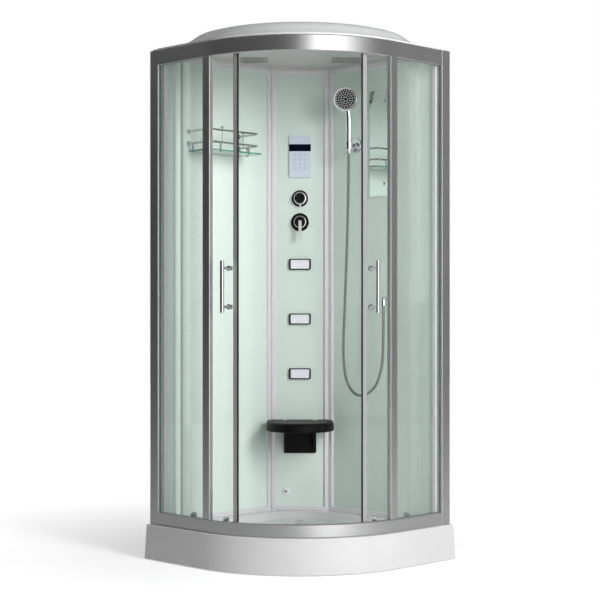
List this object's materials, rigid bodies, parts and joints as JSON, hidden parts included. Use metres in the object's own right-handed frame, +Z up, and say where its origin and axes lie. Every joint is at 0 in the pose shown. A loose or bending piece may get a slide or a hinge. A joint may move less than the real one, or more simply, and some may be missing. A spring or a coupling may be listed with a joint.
{
  "type": "steam shower cabin",
  "caption": "Corner steam shower cabin with curved sliding doors, frosted walls, domed roof, control column, folding seat, shelf, mirror and hand shower.",
  "frame": {"origin": "middle of the tray's square plan, on the floor", "axes": "+Z up; room corner towards (-X,+Y); curved doors face (+X,-Y)"},
  "size_m": [0.9, 0.9, 2.152],
  "materials": {
    "acrylic": "gloss",
    "steel": "satin",
    "feet": "matte",
    "white_plastic": "gloss",
    "aluminium": "satin",
    "front_glass": "polished",
    "mint_glass": "polished",
    "roof_shell": "gloss",
    "panel_silver": "gloss",
    "display": "gloss",
    "chrome": "mirror",
    "brass": "satin",
    "black_plastic": "matte",
    "mirror": "mirror",
    "hose": "mirror",
    "seal": "matte"
  },
  "bodies": {
    "cabin": {"shower_tray": "acrylic", "tray_frame": "steel", "leveling_feet": "feet", "waste_body": "white_plastic", "top_rail": "aluminium", "bottom_rail": "aluminium", "roller_tracks": "aluminium", "left_end_post": "aluminium", "right_end_post": "aluminium", "left_mullion": "aluminium", "right_mullion": "aluminium", "left_fixed_glass": "front_glass", "right_fixed_glass": "front_glass", "left_wall_frame": "aluminium", "right_wall_frame": "aluminium", "left_wall_glass": "mint_glass", "right_wall_glass": "mint_glass", "column_frame": "aluminium", "column_glass": "mint_glass", "roof_dome": "roof_shell", "ceiling_panel": "roof_shell", "ceiling_grilles": "white_plastic", "control_housing": "panel_silver", "control_display": "display", "valve_rosettes": "chrome", "water_manifold": "brass", "jet_frames": "black_plastic", "steam_generator": "steel", "steam_outlet": "chrome", "seat_bracket": "black_plastic", "seat_hinge_pin": "chrome", "shelf_glass": "front_glass", "shelf_gallery": "chrome", "mirror": "mirror", "handset_holder": "chrome", "hose_elbow": "chrome", "shower_hose": "hose"},
    "left_door": {"left_door_glass": "front_glass", "left_door_handle": "chrome", "left_door_edge": "chrome", "left_door_seal": "seal", "left_door_hangers": "chrome"},
    "left_wheel_1": {"left_top_wheel_1": "white_plastic"},
    "left_wheel_2": {"left_top_wheel_2": "white_plastic"},
    "right_door": {"right_door_glass": "front_glass", "right_door_handle": "chrome", "right_door_edge": "chrome", "right_door_seal": "seal", "right_door_hangers": "chrome"},
    "right_wheel_1": {"right_top_wheel_1": "white_plastic"},
    "right_wheel_2": {"right_top_wheel_2": "white_plastic"},
    "seat_pad": {"seat_pad": "black_plastic"},
    "mixer_cap": {"mixer_cap": "black_plastic"},
    "mixer_lever": {"mixer_lever": "chrome"},
    "diverter_knob": {"diverter_knob": "black_plastic"},
    "jet_plate_1": {"jet_plate_1": "white_plastic"},
    "jet_plate_2": {"jet_plate_2": "white_plastic"},
    "jet_plate_3": {"jet_plate_3": "white_plastic"},
    "handset": {"handset": "chrome"},
    "drain_cover": {"drain_cover": "chrome"}
  },
  "joints": [
    {"name": "left_door_slide", "type": "hinge", "parent": "cabin", "child": "left_door", "pos_m": [-0.1, 0.1, 0], "axis": [0, 0, 1], "range_deg": [0, 28.5]},
    {"name": "right_door_slide", "type": "hinge", "parent": "cabin", "child": "right_door", "pos_m": [-0.1, 0.1, 0], "axis": [0, 0, -1], "range_deg": [0, 28.5]},
    {"name": "left_wheel_1_spin", "type": "hinge", "parent": "left_door", "child": "left_wheel_1", "pos_m": [-0.02296, -0.38644, 2.0443], "axis": [-0.1564, 0.9877, 0], "range_deg": [0, 1277]},
    {"name": "left_wheel_2_spin", "type": "hinge", "parent": "left_door", "child": "left_wheel_2", "pos_m": [-0.22913, -0.37527, 2.0443], "axis": [0.2622, 0.965, 0], "range_deg": [0, 1277]},
    {"name": "right_wheel_1_spin", "type": "hinge", "parent": "right_door", "child": "right_wheel_1", "pos_m": [0.38644, 0.02296, 2.0443], "axis": [0.9877, -0.1564, 0], "range_deg": [0, 1277]},
    {"name": "right_wheel_2_spin", "type": "hinge", "parent": "right_door", "child": "right_wheel_2", "pos_m": [0.37527, 0.22913, 2.0443], "axis": [0.965, 0.2622, 0], "range_deg": [0, 1277]},
    {"name": "seat_fold", "type": "hinge", "parent": "cabin", "child": "seat_pad", "pos_m": [-0.26587, 0.26587, 0.513], "axis": [-0.7071, -0.7071, 0], "range_deg": [0, 90]},
    {"name": "mixer_turn", "type": "hinge", "parent": "cabin", "child": "mixer_cap", "pos_m": [-0.28991, 0.28991, 1.404], "axis": [-0.7071, 0.7071, 0], "range_deg": [-45, 45]},
    {"name": "mixer_lift", "type": "hinge", "parent": "mixer_cap", "child": "mixer_lever", "pos_m": [-0.28723, 0.28723, 1.404], "axis": [-0.7071, -0.7071, 0], "range_deg": [0, 22]},
    {"name": "diverter_turn", "type": "hinge", "parent": "cabin", "child": "diverter_knob", "pos_m": [-0.28991, 0.28991, 1.508], "axis": [-0.7071, 0.7071, 0], "range_deg": [-90, 90]},
    {"name": "jet_1_tilt", "type": "hinge", "parent": "cabin", "child": "jet_plate_1", "pos_m": [-0.30038, 0.30038, 1.22], "axis": [-0.7071, -0.7071, 0], "range_deg": [-12, 12]},
    {"name": "jet_2_tilt", "type": "hinge", "parent": "cabin", "child": "jet_plate_2", "pos_m": [-0.30038, 0.30038, 0.9805], "axis": [-0.7071, -0.7071, 0], "range_deg": [-12, 12]},
    {"name": "jet_3_tilt", "type": "hinge", "parent": "cabin", "child": "jet_plate_3", "pos_m": [-0.30038, 0.30038, 0.741], "axis": [-0.7071, -0.7071, 0], "range_deg": [-12, 12]},
    {"name": "handset_lift", "type": "slide", "parent": "cabin", "child": "handset", "axis": [0, 0, 1], "range_m": [0, 0.06]},
    {"name": "drain_cover_lift", "type": "slide", "parent": "cabin", "child": "drain_cover", "axis": [0, 0, 1], "range_m": [0, 0.03]}
  ],
  "couplings": [
    {"joint": "left_wheel_1_spin", "follows": "left_door_slide", "ratio": 44.773},
    {"joint": "left_wheel_2_spin", "follows": "left_door_slide", "ratio": 44.773},
    {"joint": "right_wheel_1_spin", "follows": "right_door_slide", "ratio": 44.773},
    {"joint": "right_wheel_2_spin", "follows": "right_door_slide", "ratio": 44.773}
  ]
}
